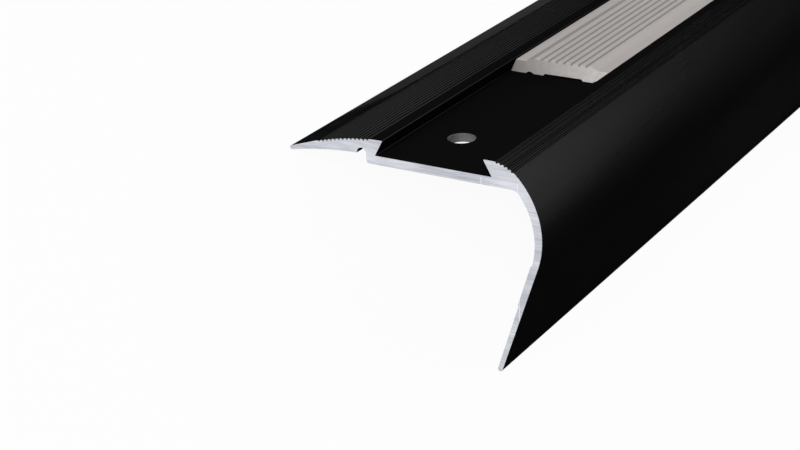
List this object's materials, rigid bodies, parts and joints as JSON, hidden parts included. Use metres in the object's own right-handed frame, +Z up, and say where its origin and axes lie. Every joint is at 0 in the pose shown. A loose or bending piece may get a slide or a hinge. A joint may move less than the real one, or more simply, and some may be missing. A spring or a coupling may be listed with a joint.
{
  "type": "stair nosing",
  "caption": "Black aluminium stair nosing with a ribbed rear wing, a dovetail channel for a grey anti-slip insert, a rounded nose and a slanted front leg.",
  "frame": {"origin": "centre of the base, on the ground, halfway along the profile", "axes": "+Z up with the profile laid on its two edges, hollow side down; +Y along the profile, away from the end whose channel is open; +X towards the nose and the leg"},
  "size_m": [0.0728, 1, 0.0414],
  "materials": {
    "nosing_profile": "satin black coat, bare sawn ends",
    "tread_insert": "matt warm light grey"
  },
  "bodies": {
    "root": {"nosing_profile": "nosing_profile", "tread_insert": "tread_insert"}
  },
  "joints": []
}
